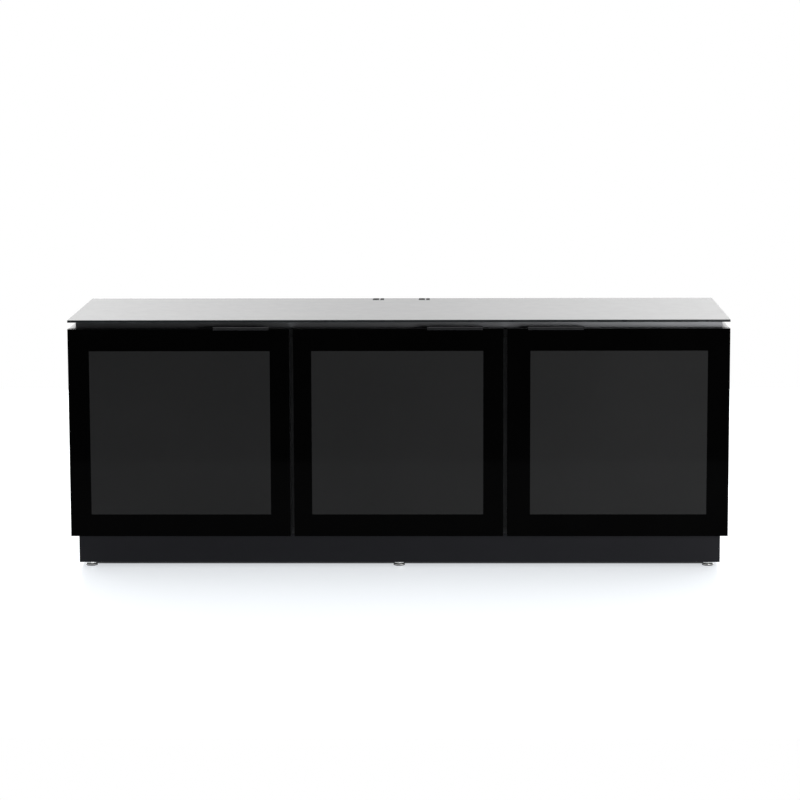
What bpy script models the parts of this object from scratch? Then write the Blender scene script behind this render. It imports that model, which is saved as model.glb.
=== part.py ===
"""Low media cabinet with three glass-fronted doors under a floating glass top.

Metres, +Z up, front towards -Y. The origin is on the floor, under the middle of the cabinet.
Each physical piece is one named object. A moving piece hangs from an empty on its joint's axis.
"""

import math

import bmesh
import bpy
from mathutils import Vector

# Overall sizes
WIDTH = 1.630
DEPTH = 0.508
HEIGHT = 0.620

# Space left between two pieces that touch, so that they stay separate solids
FIT = 0.0003

# Glass top and the neck that it floats on
TOP_GLASS = 0.006
NECK_HEIGHT = 0.017
NECK_INSET_FRONT = 0.031
NECK_RAIL_WIDTH = 0.045

# Carcass
BOARD = 0.018
SIDE_PANEL = 0.0165
CARCASS_INSET_BACK = 0.018
PASSAGE_LENGTH = 0.060
PASSAGE_HEIGHT = 0.070
PASSAGE_RISE = 0.040
PASSAGE_INSET = 0.015

# Plinth and feet
PLINTH_HEIGHT = 0.0725
PLINTH_BOARD = 0.030
FOOT_GAP = 0.0095
FOOT_INSET = 0.029
FOOT_PAD_RADIUS = 0.0145
FOOT_PAD_HEIGHT = 0.005
FOOT_STEM_RADIUS = 0.005
FOOT_STEM_LENGTH = 0.044
FOOT_HOLE_CLEARANCE = 0.0006

# Back panels and their turn buttons
BACK_PANEL = 0.009
REBATE = 0.005
PANEL_CLEARANCE = 0.001
OUTLET_WIDTH = 0.110
OUTLET_HEIGHT = 0.045
VENT_LENGTH = 0.080
VENT_HEIGHT = 0.006
VENT_PITCH_X = 0.100
VENT_PITCH_Z = 0.016
VENT_COLUMNS = 4
VENT_ROWS = 3
VENT_DROP = 0.060
BUTTON_WIDTH = 0.011
BUTTON_LENGTH = 0.032
BUTTON_THICKNESS = 0.003

# Air slots in the bottom deck
AIR_SLOT_LENGTH = 0.300
AIR_SLOT_WIDTH = 0.014
AIR_SLOT_INSET = 0.060

# Shelves
SHELF_THICKNESS = 0.018
SHELF_RISE = 0.225
SHELF_CLEARANCE = 0.001
SHELF_SETBACK = 0.020
SHELF_CABLE_GAP = 0.045

# Doors
MIDDLE_DOOR = 0.518
DOOR_SPACING = 0.009
DOOR_GLASS = 0.006
DOOR_FRAME = 0.0157
DOOR_FRAME_WIDTH = 0.046
DOOR_CLEARANCE = 0.003
DOOR_RISE = 0.0016
DOOR_DROP = 0.002

# Door pulls
PULL_WIDTH = 0.137
PULL_INSET = 0.051
PULL_LIP = 0.002
PULL_HANG = 0.003
PULL_RISE = 0.005
PULL_DEPTH = 0.018
PULL_ARC_STEPS = 5

# Door hinges
HINGE_INSET = 0.085
HINGE_HEIGHT = 0.054
HINGE_EDGE = 0.006
HINGE_SETBACK = 0.011
HINGE_PLATE = 0.002
HINGE_REACH = 0.026
HINGE_SIDE_LENGTH = 0.045
KNUCKLE_RADIUS = 0.004
KNUCKLE_GAP = 0.0005
KNUCKLE_SHOULDER = 0.001
KNUCKLE_STEPS = 16
PIN_RADIUS = 0.0016
PIN_CLEARANCE = 0.0003
POCKET_CLEARANCE = 0.001
POCKET_REACH = 0.030

# Magnetic catches
CATCH_WIDTH = 0.046
CATCH_DEPTH = 0.036
CATCH_HEIGHT = 0.013
CATCH_INSET = 0.120
CATCH_SETBACK = 0.001

# Forked inserts that lie flush in notches in the back edge of the top
INSERT_SPACING = 0.120
INSERT_SHEET = 0.002
INSERT_REACH = 0.046
INSERT_WIDE_PRONG = 0.0155
INSERT_NARROW_PRONG = 0.009
INSERT_TONGUE = 0.004

# Softened edges
BOARD_EDGE = 0.0008
GLASS_EDGE = 0.0006
METAL_EDGE = 0.0004

# Levels, from the top down
GLASS_UNDERSIDE = HEIGHT - TOP_GLASS
NECK_TOP = GLASS_UNDERSIDE - FIT
NECK_BOTTOM = NECK_TOP - NECK_HEIGHT
DECK_TOP = NECK_BOTTOM - FIT
DECK_UNDERSIDE = DECK_TOP - BOARD
DOOR_TOP = DECK_TOP + DOOR_RISE

# Levels, from the floor up
PLINTH_TOP = FOOT_GAP + PLINTH_HEIGHT
FLOOR_UNDERSIDE = PLINTH_TOP + FIT
FLOOR_TOP = FLOOR_UNDERSIDE + BOARD
DOOR_BOTTOM = PLINTH_TOP - DOOR_DROP
SHELF_UNDERSIDE = FLOOR_TOP + SHELF_RISE

# Planes, from the front to the back, with the origin midway between the pulls and the back edge
PULL_PROUD = PULL_LIP + FIT
FRONT = (PULL_PROUD - DEPTH) / 2
BACK = FRONT + DEPTH
FRAME_FRONT = FRONT + DOOR_GLASS + FIT
FRAME_BACK = FRAME_FRONT + DOOR_FRAME
CARCASS_FRONT = FRAME_BACK + DOOR_CLEARANCE
CARCASS_BACK = BACK - CARCASS_INSET_BACK
PANEL_FRONT = CARCASS_BACK - BACK_PANEL
REBATE_FRONT = PANEL_FRONT - FIT
SHELF_FRONT = CARCASS_FRONT + SHELF_SETBACK
SHELF_BACK = PANEL_FRONT - SHELF_CABLE_GAP
NECK_FRONT = FRONT + NECK_INSET_FRONT

# Places across the width
HALF_WIDTH = WIDTH / 2
HALF_CARCASS = HALF_WIDTH - SIDE_PANEL - FIT
HALF_INSIDE = HALF_CARCASS - BOARD
PARTITION_X = (MIDDLE_DOOR + DOOR_SPACING) / 2
OUTER_DOOR_INNER_EDGE = MIDDLE_DOOR / 2 + DOOR_SPACING

# Each bay: its name and the walls on its left and right
BAYS = (
    ("left", -HALF_INSIDE, -PARTITION_X - BOARD / 2),
    ("middle", -PARTITION_X + BOARD / 2, PARTITION_X - BOARD / 2),
    ("right", PARTITION_X + BOARD / 2, HALF_INSIDE),
)

# Each door: its name, its two edges, and the way that it runs from its hinge (+1 is towards +X)
DOORS = (
    ("left", -HALF_WIDTH, -OUTER_DOOR_INNER_EDGE, 1),
    ("middle", -MIDDLE_DOOR / 2, MIDDLE_DOOR / 2, 1),
    ("right", OUTER_DOOR_INNER_EDGE, HALF_WIDTH, -1),
)


def clear_scene():
    """Remove every object that the file starts with."""
    for item in list(bpy.data.objects):
        bpy.data.objects.remove(item, do_unlink=True)


def make_material(name, color, roughness, metallic=0.0, alpha=1.0):
    """Return a Principled BSDF material."""
    material = bpy.data.materials.new(name)
    material.use_nodes = True
    shader = material.node_tree.nodes["Principled BSDF"]
    shader.inputs["Base Color"].default_value = (*color, 1.0)
    shader.inputs["Roughness"].default_value = roughness
    shader.inputs["Metallic"].default_value = metallic
    shader.inputs["Alpha"].default_value = alpha
    material.diffuse_color = (*color, alpha)
    return material


def make_axis(name, location):
    """Return an empty that marks a joint's axis and carries the pieces that move about it."""
    axis = bpy.data.objects.new(name, None)
    axis.empty_display_size = 0.03
    axis.location = location
    bpy.context.collection.objects.link(axis)
    return axis


def add_object(name, shape, center, material, parent=None):
    """Turn a bmesh that is built round its own center into an object placed at that center."""
    bmesh.ops.recalc_face_normals(shape, faces=shape.faces)
    mesh = bpy.data.meshes.new(name)
    shape.to_mesh(mesh)
    shape.free()
    piece = bpy.data.objects.new(name, mesh)
    if material is not None:
        mesh.materials.append(material)
    bpy.context.collection.objects.link(piece)
    piece.location = Vector(center)
    if parent is not None:
        piece.parent = parent
        piece.location = Vector(center) - parent.location
    return piece


def soften(piece, width):
    """Chamfer the sharp edges of a piece."""
    bevel = piece.modifiers.new("Soft edges", "BEVEL")
    bevel.width = width
    bevel.segments = 1
    bevel.limit_method = "ANGLE"
    bevel.angle_limit = math.radians(50)


def add_box(name, low, high, material, parent=None, edge=0.0):
    """Add a box between two opposite corners, given in the cabinet's frame."""
    low = Vector(low)
    high = Vector(high)
    shape = bmesh.new()
    bmesh.ops.create_cube(shape, size=1.0)
    bmesh.ops.scale(shape, vec=high - low, verts=shape.verts)
    piece = add_object(name, shape, (low + high) / 2, material, parent)
    if edge > 0:
        soften(piece, edge)
    return piece


def add_prism(name, outline, x_low, x_high, material, parent=None, edge=0.0):
    """Add a bar that runs along X, with an outline of (y, z) corners."""
    center = Vector(((x_low + x_high) / 2, outline[0][0], outline[0][1]))
    shape = bmesh.new()
    corners = [shape.verts.new(Vector((x_low, y, z)) - center) for y, z in outline]
    face = shape.faces.new(corners)
    grown = bmesh.ops.extrude_face_region(shape, geom=[face])
    moved = [item for item in grown["geom"] if isinstance(item, bmesh.types.BMVert)]
    bmesh.ops.translate(shape, vec=(x_high - x_low, 0, 0), verts=moved)
    piece = add_object(name, shape, center, material, parent)
    if edge > 0:
        soften(piece, edge)
    return piece


def add_turned(name, profile, center, steps, material, parent=None):
    """Add a round piece: (radius, height) points turned about the upright line through center."""
    shape = bmesh.new()
    points = [shape.verts.new((radius, 0, height)) for radius, height in profile]
    edges = [shape.edges.new(pair) for pair in zip(points, points[1:])]
    bmesh.ops.spin(shape, geom=points + edges, cent=(0, 0, 0), axis=(0, 0, 1), angle=math.tau,
                   steps=steps, use_merge=True)
    bmesh.ops.remove_doubles(shape, verts=shape.verts, dist=0.000001)
    piece = add_object(name, shape, center, material, parent)
    piece.data.shade_smooth()
    piece.data.set_sharp_from_angle(angle=math.radians(35))
    return piece


def combine(piece, tool, operation):
    """Cut a tool out of a piece, or weld it on, and keep the tool as a hidden guide."""
    tool.hide_render = True
    tool.display_type = "WIRE"
    step = piece.modifiers.new(tool.name, "BOOLEAN")
    step.operation = operation
    step.solver = "EXACT"
    step.object = tool


def cut_box(piece, name, low, high):
    """Cut a box-shaped space out of a piece."""
    combine(piece, add_box(name, low, high, None, piece.parent), "DIFFERENCE")


def cut_round(piece, name, center, radius, height, steps):
    """Cut an upright round hole out of a piece, from center upwards."""
    profile = ((0, 0), (radius, 0), (radius, height), (0, height))
    combine(piece, add_turned(name, profile, center, steps, None, piece.parent), "DIFFERENCE")


def cut_rebates(piece, bays):
    """Cut the step that the back panels of the given bays sit in."""
    for bay, left, right in bays:
        cut_box(
            piece,
            f"{piece.name}_rebate_{bay}",
            (left - REBATE, REBATE_FRONT, FLOOR_TOP - REBATE),
            (right + REBATE, CARCASS_BACK + BOARD, DECK_UNDERSIDE + REBATE),
        )


def insert_prongs(sign):
    """Return the left and right edges of an insert's wide prong and of its narrow prong."""
    wide_left = (sign * INSERT_SPACING - INSERT_WIDE_PRONG - INSERT_TONGUE - INSERT_NARROW_PRONG) / 2
    wide_right = wide_left + INSERT_WIDE_PRONG
    narrow_left = wide_right + INSERT_TONGUE
    return (wide_left, wide_right), (narrow_left, narrow_left + INSERT_NARROW_PRONG)


def build_top(glass, board):
    """Build the glass top, notched for its inserts, and the four rails of the neck under it."""
    top = add_box("top_glass", (-HALF_WIDTH, FRONT, GLASS_UNDERSIDE), (HALF_WIDTH, BACK, HEIGHT),
                  glass, edge=GLASS_EDGE)
    for side, sign in (("left", -1), ("right", 1)):
        for prong, (left, right) in zip(("wide", "narrow"), insert_prongs(sign)):
            cut_box(top, f"notch_{side}_{prong}", (left - FIT, BACK - INSERT_REACH - FIT, FOOT_GAP),
                    (right + FIT, BACK + BOARD, HEIGHT + BOARD))
    inner_front = NECK_FRONT + NECK_RAIL_WIDTH
    inner_back = CARCASS_BACK - NECK_RAIL_WIDTH
    add_box("neck_rail_front", (-HALF_CARCASS, NECK_FRONT, NECK_BOTTOM),
            (HALF_CARCASS, inner_front, NECK_TOP), board, edge=BOARD_EDGE)
    add_box("neck_rail_back", (-HALF_CARCASS, inner_back, NECK_BOTTOM),
            (HALF_CARCASS, CARCASS_BACK, NECK_TOP), board, edge=BOARD_EDGE)
    for side, sign in (("left", -1), ("right", 1)):
        edges = sorted((sign * (HALF_CARCASS - NECK_RAIL_WIDTH), sign * HALF_CARCASS))
        add_box(f"neck_rail_{side}", (edges[0], inner_front + FIT, NECK_BOTTOM),
                (edges[1], inner_back - FIT, NECK_TOP), board, edge=BOARD_EDGE)


def build_inserts(plastic):
    """Build the two forked inserts, whose prongs lie flush in the notches of the glass top."""
    joint_y = CARCASS_BACK + FIT
    for side, sign in (("left", -1), ("right", 1)):
        wide, narrow = insert_prongs(sign)
        outline = (
            (BACK, NECK_TOP - INSERT_SHEET),
            (BACK, HEIGHT),
            (BACK - INSERT_REACH, HEIGHT),
            (BACK - INSERT_REACH, GLASS_UNDERSIDE),
            (joint_y, GLASS_UNDERSIDE),
            (joint_y, NECK_TOP - INSERT_SHEET),
        )
        insert = add_prism(f"top_insert_{side}", outline, wide[0], narrow[1], plastic)
        cut_box(insert, f"{insert.name}_tongue", (wide[1], BACK - INSERT_REACH - BOARD, NECK_TOP),
                (narrow[0], BACK + BOARD, HEIGHT + BOARD))


def build_decks(board):
    """Build the boards above and below the three bays."""
    top = add_box("top_deck", (-HALF_CARCASS, CARCASS_FRONT, DECK_UNDERSIDE),
                  (HALF_CARCASS, CARCASS_BACK, DECK_TOP), board, edge=BOARD_EDGE)
    cut_rebates(top, BAYS)
    bottom = add_box("bottom_deck", (-HALF_CARCASS, CARCASS_FRONT, FLOOR_UNDERSIDE),
                     (HALF_CARCASS, CARCASS_BACK, FLOOR_TOP), board, edge=BOARD_EDGE)
    cut_rebates(bottom, BAYS)
    slot_back = PANEL_FRONT - AIR_SLOT_INSET
    for bay, left, right in BAYS:
        middle = (left + right) / 2
        cut_box(
            bottom,
            f"air_slot_{bay}",
            (middle - AIR_SLOT_LENGTH / 2, slot_back - AIR_SLOT_WIDTH, FLOOR_UNDERSIDE - BOARD),
            (middle + AIR_SLOT_LENGTH / 2, slot_back, FLOOR_TOP + BOARD),
        )


def build_uprights(board, gloss):
    """Build the carcass sides, the outer side panels and the partitions."""
    lower = FLOOR_TOP + FIT
    upper = DECK_UNDERSIDE - FIT
    passage_back = PANEL_FRONT - PASSAGE_INSET
    for side, sign in (("left", -1), ("right", 1)):
        own_bay = [bay for bay in BAYS if bay[0] == side]
        inner = sorted((sign * HALF_INSIDE, sign * HALF_CARCASS))
        wall = add_box(f"carcass_side_{side}", (inner[0], CARCASS_FRONT, lower),
                       (inner[1], CARCASS_BACK, upper), board, edge=BOARD_EDGE)
        cut_rebates(wall, own_bay)
        outer = sorted((sign * (HALF_WIDTH - SIDE_PANEL), sign * HALF_WIDTH))
        add_box(f"side_panel_{side}", (outer[0], CARCASS_FRONT, DOOR_BOTTOM),
                (outer[1], CARCASS_BACK, DECK_TOP), gloss, edge=BOARD_EDGE)
        left = sign * PARTITION_X - BOARD / 2
        partition = add_box(f"partition_{side}", (left, CARCASS_FRONT, lower),
                            (left + BOARD, CARCASS_BACK, upper), board, edge=BOARD_EDGE)
        cut_rebates(partition, own_bay + [BAYS[1]])
        cut_box(
            partition,
            f"{partition.name}_passage",
            (left - BOARD, passage_back - PASSAGE_LENGTH, FLOOR_TOP + PASSAGE_RISE),
            (left + 2 * BOARD, passage_back, FLOOR_TOP + PASSAGE_RISE + PASSAGE_HEIGHT),
        )


def build_back(board, metal):
    """Build the removable back panels and the turn buttons that hold them."""
    reach = REBATE - PANEL_CLEARANCE
    for bay, left, right in BAYS:
        middle = (left + right) / 2
        panel = add_box(f"back_panel_{bay}", (left - reach, PANEL_FRONT, FLOOR_TOP - reach),
                        (right + reach, CARCASS_BACK, DECK_UNDERSIDE + reach), board, edge=BOARD_EDGE)
        cut_box(
            panel,
            f"cable_outlet_{bay}",
            (middle - OUTLET_WIDTH / 2, PANEL_FRONT - BOARD, FLOOR_TOP - BOARD),
            (middle + OUTLET_WIDTH / 2, CARCASS_BACK + BOARD, FLOOR_TOP + OUTLET_HEIGHT),
        )
        for row in range(VENT_ROWS):
            vent_z = DECK_UNDERSIDE - VENT_DROP - row * VENT_PITCH_Z
            for column in range(VENT_COLUMNS):
                vent_x = middle + (column - (VENT_COLUMNS - 1) / 2) * VENT_PITCH_X
                cut_box(
                    panel,
                    f"vent_{bay}_{row}_{column}",
                    (vent_x - VENT_LENGTH / 2, PANEL_FRONT - BOARD, vent_z - VENT_HEIGHT),
                    (vent_x + VENT_LENGTH / 2, CARCASS_BACK + BOARD, vent_z),
                )
        button_back = CARCASS_BACK + FIT + BUTTON_THICKNESS
        pivot_z = (DECK_UNDERSIDE + REBATE + DECK_TOP) / 2
        axis = make_axis(f"turn_button_axis_{bay}", (middle, button_back, pivot_z))
        add_box(
            f"turn_button_{bay}",
            (middle - BUTTON_WIDTH / 2, CARCASS_BACK + FIT, pivot_z + BUTTON_WIDTH / 2 - BUTTON_LENGTH),
            (middle + BUTTON_WIDTH / 2, button_back, pivot_z + BUTTON_WIDTH / 2),
            metal,
            axis,
            METAL_EDGE,
        )


def build_shelves(board):
    """Build one shelf in each bay, short of the back so that cables pass behind it."""
    for bay, left, right in BAYS:
        add_box(f"shelf_{bay}", (left + SHELF_CLEARANCE, SHELF_FRONT, SHELF_UNDERSIDE),
                (right - SHELF_CLEARANCE, SHELF_BACK, SHELF_UNDERSIDE + SHELF_THICKNESS),
                board, edge=BOARD_EDGE)


def build_plinth(board, metal):
    """Build the plinth's four boards and the levelling feet that screw up into them."""
    inner_front = CARCASS_FRONT + PLINTH_BOARD
    inner_back = CARCASS_BACK - PLINTH_BOARD
    front = add_box("plinth_front", (-HALF_CARCASS, CARCASS_FRONT, FOOT_GAP),
                    (HALF_CARCASS, inner_front, PLINTH_TOP), board, edge=BOARD_EDGE)
    back = add_box("plinth_back", (-HALF_CARCASS, inner_back, FOOT_GAP),
                   (HALF_CARCASS, CARCASS_BACK, PLINTH_TOP), board, edge=BOARD_EDGE)
    for side, sign in (("left", -1), ("right", 1)):
        edges = sorted((sign * (HALF_CARCASS - PLINTH_BOARD), sign * HALF_CARCASS))
        add_box(f"plinth_{side}", (edges[0], inner_front + FIT, FOOT_GAP),
                (edges[1], inner_back - FIT, PLINTH_TOP), board, edge=BOARD_EDGE)
    chamfer = FOOT_PAD_HEIGHT / 4
    profile = (
        (0, 0),
        (FOOT_PAD_RADIUS - chamfer, 0),
        (FOOT_PAD_RADIUS, chamfer),
        (FOOT_PAD_RADIUS, FOOT_PAD_HEIGHT - chamfer),
        (FOOT_PAD_RADIUS - chamfer, FOOT_PAD_HEIGHT),
        (FOOT_STEM_RADIUS, FOOT_PAD_HEIGHT),
        (FOOT_STEM_RADIUS, FOOT_PAD_HEIGHT + FOOT_STEM_LENGTH),
        (0, FOOT_PAD_HEIGHT + FOOT_STEM_LENGTH),
    )
    hole_radius = FOOT_STEM_RADIUS + FOOT_HOLE_CLEARANCE
    hole_height = FOOT_PAD_HEIGHT + FOOT_STEM_LENGTH + FOOT_HOLE_CLEARANCE
    foot_x = HALF_CARCASS - FOOT_INSET
    for row, board_piece, y in (("front", front, CARCASS_FRONT + PLINTH_BOARD / 2),
                                ("back", back, CARCASS_BACK - PLINTH_BOARD / 2)):
        for side, x in (("left", -foot_x), ("middle", 0), ("right", foot_x)):
            name = f"levelling_foot_{row}_{side}"
            axis = make_axis(f"{name}_axis", (x, y, 0))
            add_turned(name, profile, (x, y, 0), KNUCKLE_STEPS, metal, axis)
            cut_round(board_piece, f"{name}_hole", (x, y, 0), hole_radius, hole_height, KNUCKLE_STEPS)


def build_door_frame(name, low_x, high_x, way, hinge_levels, board, axis):
    """Build the frame behind a door's glass, with its window and a pocket for each hinge."""
    frame = add_box(f"door_frame_{name}", (low_x, FRAME_FRONT, DOOR_BOTTOM),
                    (high_x, FRAME_BACK, DOOR_TOP), board, axis, BOARD_EDGE)
    cut_box(
        frame,
        f"door_window_{name}",
        (low_x + DOOR_FRAME_WIDTH, FRAME_FRONT - BOARD, DOOR_BOTTOM + DOOR_FRAME_WIDTH),
        (high_x - DOOR_FRAME_WIDTH, FRAME_BACK + BOARD, DOOR_TOP - DOOR_FRAME_WIDTH),
    )
    hinge_edge = low_x if way > 0 else high_x
    edges = sorted((hinge_edge - way * BOARD, hinge_edge + way * (HINGE_EDGE + POCKET_REACH)))
    for level_name, level in hinge_levels:
        half = HINGE_HEIGHT / 2 + POCKET_CLEARANCE
        cut_box(frame, f"hinge_pocket_{name}_{level_name}", (edges[0], FRAME_FRONT - BOARD, level - half),
                (edges[1], FRAME_BACK + BOARD, level + half))


def build_pull(name, low_x, high_x, way, metal, axis):
    """Build the pull that wraps over a door's top edge, near the edge away from the hinge."""
    free_edge = high_x if way > 0 else low_x
    edges = sorted((free_edge - way * PULL_INSET, free_edge - way * (PULL_INSET + PULL_WIDTH)))
    face = FRONT - FIT - PULL_LIP
    radius = PULL_RISE - FIT
    outline = [(face, DOOR_TOP - PULL_HANG)]
    for step in range(PULL_ARC_STEPS + 1):
        angle = math.pi / 2 * step / PULL_ARC_STEPS
        outline.append((face + radius * (1 - math.cos(angle)), DOOR_TOP + FIT + radius * math.sin(angle)))
    outline.append((FRONT + PULL_DEPTH, DOOR_TOP + PULL_RISE))
    outline.append((FRONT + PULL_DEPTH, DOOR_TOP + FIT))
    outline.append((FRONT - FIT, DOOR_TOP + FIT))
    outline.append((FRONT - FIT, DOOR_TOP - PULL_HANG))
    add_prism(f"door_pull_{name}", outline, edges[0], edges[1], metal, axis)


def add_knuckle(name, pivot, level, length, metal, parent):
    """Return a plain barrel of a hinge, centered on the given level."""
    profile = ((0, -length / 2), (KNUCKLE_RADIUS, -length / 2), (KNUCKLE_RADIUS, length / 2), (0, length / 2))
    return add_turned(name, profile, (pivot[0], pivot[1], level), KNUCKLE_STEPS, metal, parent)


def build_hinge(name, pivot, level, way, wall_x, metal, axis):
    """Build one hinge: a carcass leaf with a bored middle knuckle, and a door leaf with the pin.

    An outer door's carcass leaf lies on the front edge of the carcass (wall_x is None). The middle
    door's leaf lies on the side of the partition, whose face is at wall_x.
    """
    low = level - HINGE_HEIGHT / 2
    high = level + HINGE_HEIGHT / 2
    knuckle = (HINGE_HEIGHT - 2 * KNUCKLE_GAP) / 3
    web_half = HINGE_PLATE / 2
    leaf_back = CARCASS_FRONT - FIT
    if wall_x is None:
        edges = sorted((pivot[0] - way * KNUCKLE_RADIUS, pivot[0] + way * HINGE_REACH))
        leaf = add_box(f"hinge_leaf_carcass_{name}", (edges[0], leaf_back - HINGE_PLATE, low),
                       (edges[1], leaf_back, high), metal)
        web_x = (pivot[0] - web_half, pivot[0] + web_half)
        web_back = leaf_back - web_half
    else:
        edges = sorted((wall_x + way * FIT, wall_x + way * (FIT + HINGE_PLATE)))
        leaf = add_box(f"hinge_leaf_carcass_{name}", (edges[0], CARCASS_FRONT, low),
                       (edges[1], CARCASS_FRONT + HINGE_SIDE_LENGTH, high), metal)
        web_x = edges
        web_back = CARCASS_FRONT + web_half
    web_half_height = knuckle / 2 - KNUCKLE_SHOULDER
    web = add_box(f"hinge_web_{name}", (web_x[0], pivot[1], level - web_half_height),
                  (web_x[1], web_back, level + web_half_height), None)
    combine(leaf, web, "UNION")
    combine(leaf, add_knuckle(f"hinge_barrel_{name}", pivot, level, knuckle, None, None), "UNION")
    bore = (pivot[0], pivot[1], level - knuckle)
    cut_round(leaf, f"hinge_bore_{name}", bore, PIN_RADIUS + PIN_CLEARANCE, 2 * knuckle, KNUCKLE_STEPS)

    strap_front = FRAME_FRONT + FIT
    wall = pivot[0] + way * (POCKET_REACH - FIT)
    plate = sorted((wall, wall - way * HINGE_PLATE))
    door_leaf = add_box(f"hinge_leaf_door_{name}", (plate[0], strap_front, low),
                        (plate[1], FRAME_BACK, high), metal, axis)
    strap = sorted((pivot[0], wall - way * web_half))
    for end, start in (("lower", low), ("upper", high - knuckle)):
        arm = add_box(f"hinge_strap_{name}_{end}", (strap[0], strap_front, start + KNUCKLE_SHOULDER),
                      (strap[1], strap_front + HINGE_PLATE, start + knuckle - KNUCKLE_SHOULDER), None, axis)
        combine(door_leaf, arm, "UNION")
        barrel = add_knuckle(f"hinge_knuckle_{name}_{end}", pivot, start + knuckle / 2, knuckle, None, axis)
        combine(door_leaf, barrel, "UNION")
    pin_profile = (
        (0, low + knuckle / 2),
        (PIN_RADIUS, low + knuckle / 2),
        (PIN_RADIUS, high - knuckle / 2),
        (0, high - knuckle / 2),
    )
    pin = add_turned(f"hinge_pin_{name}", pin_profile, (pivot[0], pivot[1], 0), KNUCKLE_STEPS, None, axis)
    combine(door_leaf, pin, "UNION")


def build_doors(glass, board, metal):
    """Build the three doors with their frames, pulls and hinges."""
    hinge_levels = (("lower", DOOR_BOTTOM + HINGE_INSET), ("upper", DOOR_TOP - HINGE_INSET))
    for name, low_x, high_x, way in DOORS:
        hinge_edge = low_x if way > 0 else high_x
        pivot = (hinge_edge + way * HINGE_EDGE, FRONT + HINGE_SETBACK)
        axis = make_axis(f"door_axis_{name}", (pivot[0], pivot[1], DOOR_BOTTOM))
        add_box(f"door_glass_{name}", (low_x, FRONT, DOOR_BOTTOM),
                (high_x, FRONT + DOOR_GLASS, DOOR_TOP), glass, axis, GLASS_EDGE)
        build_door_frame(name, low_x, high_x, way, hinge_levels, board, axis)
        build_pull(name, low_x, high_x, way, metal, axis)
        wall_x = BAYS[1][1] if name == "middle" else None
        for level_name, level in hinge_levels:
            build_hinge(f"{name}_{level_name}", pivot, level, way, wall_x, metal, axis)


def build_catches(plastic):
    """Build the magnetic catch under the top deck, near each door's free edge."""
    for name, low_x, high_x, way in DOORS:
        free_edge = high_x if way > 0 else low_x
        middle = free_edge - way * CATCH_INSET
        front = CARCASS_FRONT + CATCH_SETBACK
        top = DECK_UNDERSIDE - FIT
        add_box(f"magnetic_catch_{name}", (middle - CATCH_WIDTH / 2, front, top - CATCH_HEIGHT),
                (middle + CATCH_WIDTH / 2, front + CATCH_DEPTH, top), plastic, edge=METAL_EDGE)


def main():
    """Build the whole cabinet."""
    clear_scene()
    top_glass = make_material("top_glass", (0.045, 0.047, 0.05), 0.35)
    door_glass = make_material("door_glass", (0.012, 0.012, 0.013), 0.06, alpha=0.96)
    black_board = make_material("black_board", (0.012, 0.012, 0.013), 0.45)
    gloss_panel = make_material("satin_black_panel", (0.010, 0.010, 0.011), 0.3)
    pull_metal = make_material("dark_metal", (0.06, 0.06, 0.062), 0.35, metallic=1.0)
    steel = make_material("steel", (0.6, 0.6, 0.6), 0.35, metallic=1.0)
    plastic = make_material("grey_plastic", (0.16, 0.16, 0.165), 0.5)
    build_top(top_glass, black_board)
    build_inserts(plastic)
    build_decks(black_board)
    build_uprights(black_board, gloss_panel)
    build_back(black_board, steel)
    build_shelves(black_board)
    build_plinth(black_board, steel)
    build_doors(door_glass, black_board, steel)
    build_catches(plastic)
    for name in ("left", "middle", "right"):
        bpy.data.objects[f"door_pull_{name}"].data.materials[0] = pull_metal


main()
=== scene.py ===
"""Looks for a low media cabinet with three glass-fronted doors under a floating glass top."""

import logging
import math
from collections.abc import Callable, Sequence
from dataclasses import dataclass, replace
from enum import Enum

import bmesh
import bpy
from mathutils import Euler, Matrix, Vector


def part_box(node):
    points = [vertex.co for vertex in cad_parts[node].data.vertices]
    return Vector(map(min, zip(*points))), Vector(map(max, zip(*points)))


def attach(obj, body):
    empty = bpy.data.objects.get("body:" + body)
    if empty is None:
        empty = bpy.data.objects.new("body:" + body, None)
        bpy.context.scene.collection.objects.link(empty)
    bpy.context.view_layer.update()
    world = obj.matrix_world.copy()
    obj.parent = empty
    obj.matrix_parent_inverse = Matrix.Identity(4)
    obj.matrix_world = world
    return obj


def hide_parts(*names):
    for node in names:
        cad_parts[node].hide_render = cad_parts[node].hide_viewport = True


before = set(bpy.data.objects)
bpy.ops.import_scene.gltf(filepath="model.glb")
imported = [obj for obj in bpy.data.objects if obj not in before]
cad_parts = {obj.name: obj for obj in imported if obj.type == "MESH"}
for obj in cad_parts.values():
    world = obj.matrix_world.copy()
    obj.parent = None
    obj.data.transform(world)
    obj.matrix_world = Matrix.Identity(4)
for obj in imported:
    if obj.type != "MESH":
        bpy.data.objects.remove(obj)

LOG = logging.getLogger("media_cabinet")
CABINET = "cabinet"
SIDES = ("left", "middle", "right")
ENDS = ("left", "right")
LEVELS = ("lower", "upper")
ROWS = ("front", "back")

# The gap that touching pieces keep, in metres
TOUCH = 0.0003

# Points that are nearer to each other than this are merged, in turned shapes and in fittings
WELD = 0.000001
FITTING_WELD = 0.0000005

# A point that is nearer to a cutting plane than this lies on it
CUT_TOLERANCE = 0.0000001

# Edges sharper than this are drawn as edges, in degrees
CREASE_ANGLE = 32
FITTING_CREASE_ANGLE = 30

# Most of a noise lies in this range
NOISE_RANGE = (0.3, 0.7)

# How a grain is stretched to make fine lines that run level or upright
LEVEL_LINES = (0.05, 0.05, 1.0)
UPRIGHT_LINES = (1.0, 1.0, 0.06)

Point = tuple[float, float, float]
Color = tuple[float, float, float]

# A place on a flat outline, or another pair of lengths
Spot = tuple[float, float]

# A number, or the output that gives it
Value = float | bpy.types.NodeSocket


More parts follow.
